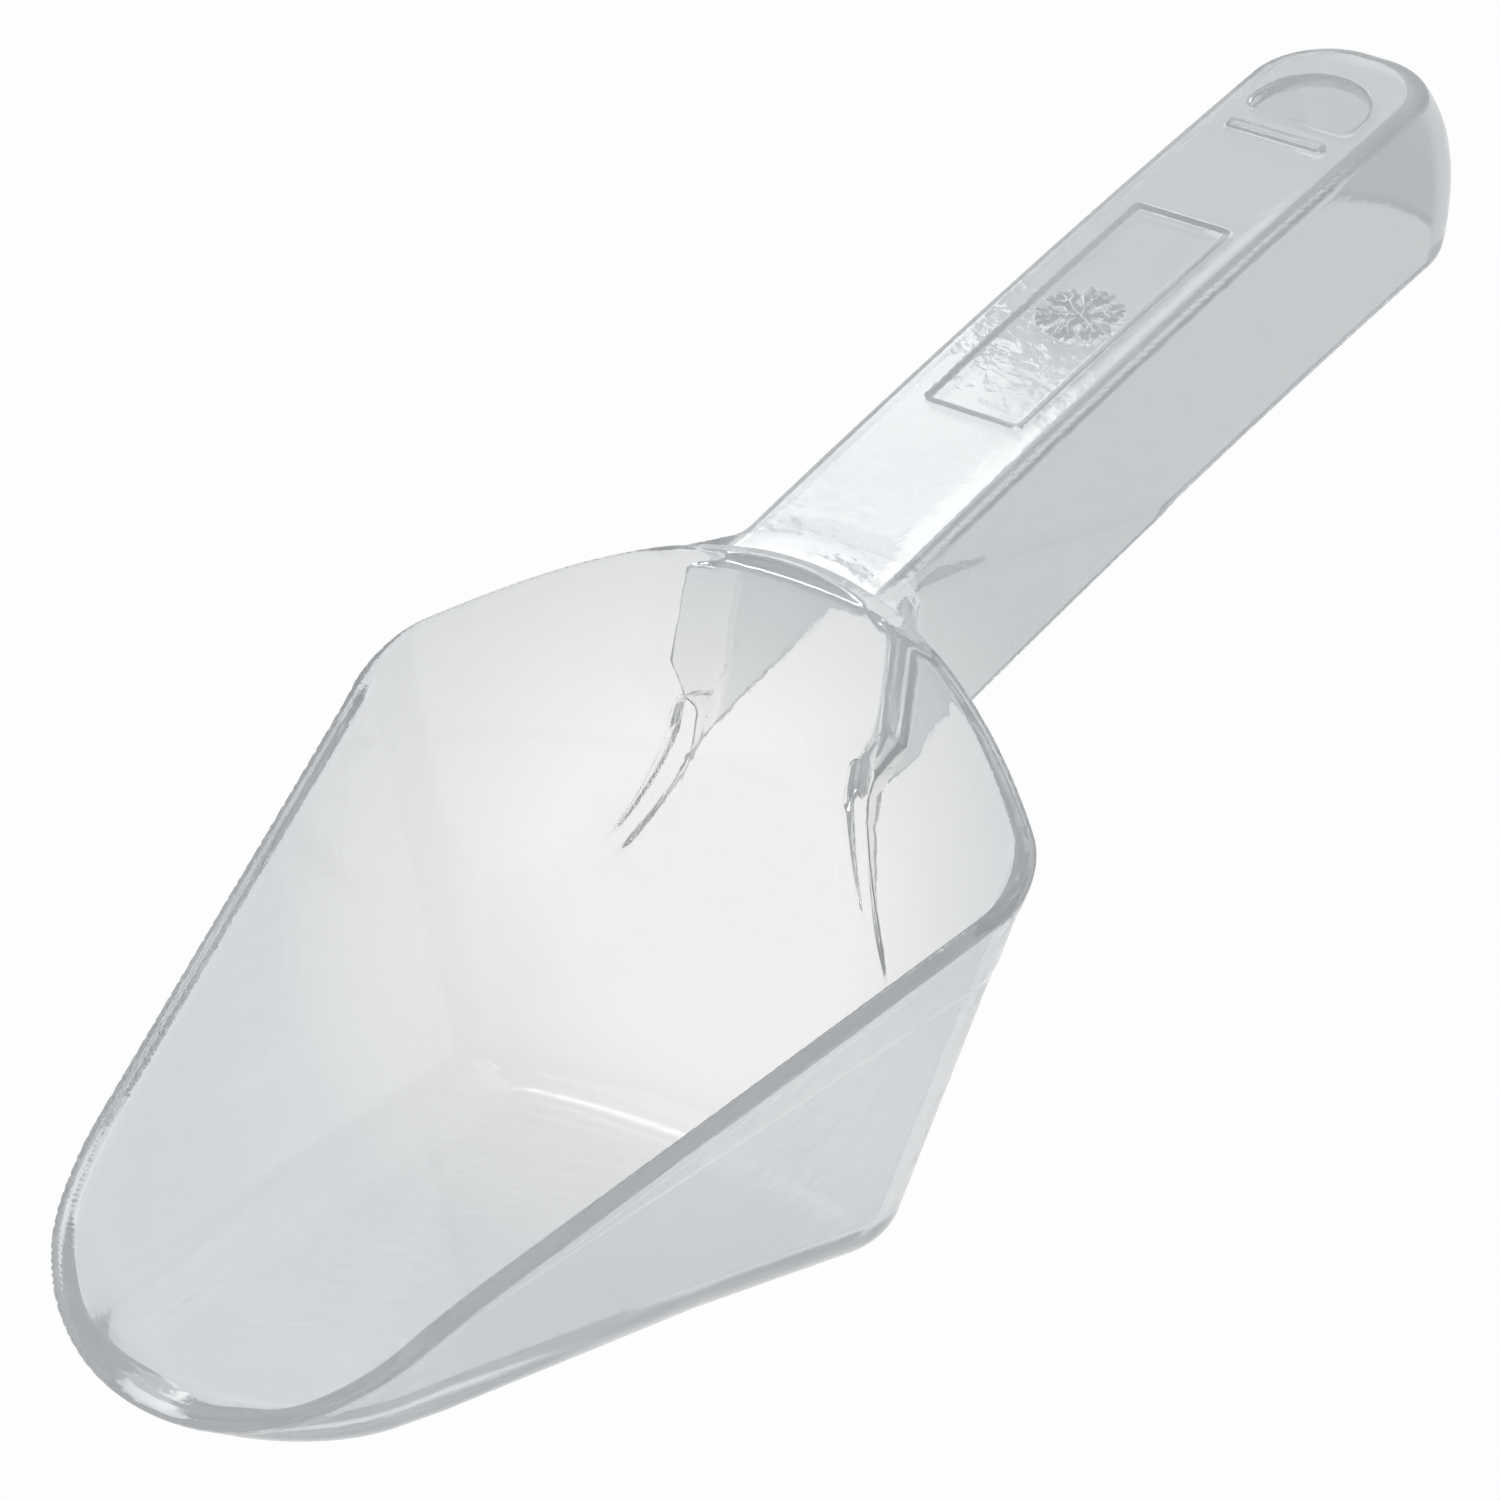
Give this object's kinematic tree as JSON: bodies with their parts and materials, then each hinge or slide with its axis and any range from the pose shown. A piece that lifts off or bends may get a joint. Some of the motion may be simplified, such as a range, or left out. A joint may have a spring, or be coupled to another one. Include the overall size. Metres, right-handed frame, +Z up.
{
  "type": "ice scoop",
  "caption": "Clear moulded bar scoop: deep flat-based bowl with a sloping beaded rim and an open-bottomed channel handle with a hanging hole.",
  "frame": {"origin": "the middle of the flat base: on the plane the base stands on, on the plane of symmetry, 49.2 mm behind the rim's tip", "axes": "+X forwards to the bowl's tip, +Y to the scoop's left, +Z up out of the bowl; the handle runs back and up towards -X"},
  "size_m": [0.2156, 0.0868, 0.104],
  "materials": {
    "clear_bowl": "clear polycarbonate, glossy, faintly cool, fine moulding speckle on the walls",
    "clear_handle": "clear polycarbonate, glossy outside, slightly greyer because two side walls are seen at once"
  },
  "bodies": {
    "root": {"bowl": "clear_bowl", "handle": "clear_handle"}
  },
  "joints": []
}
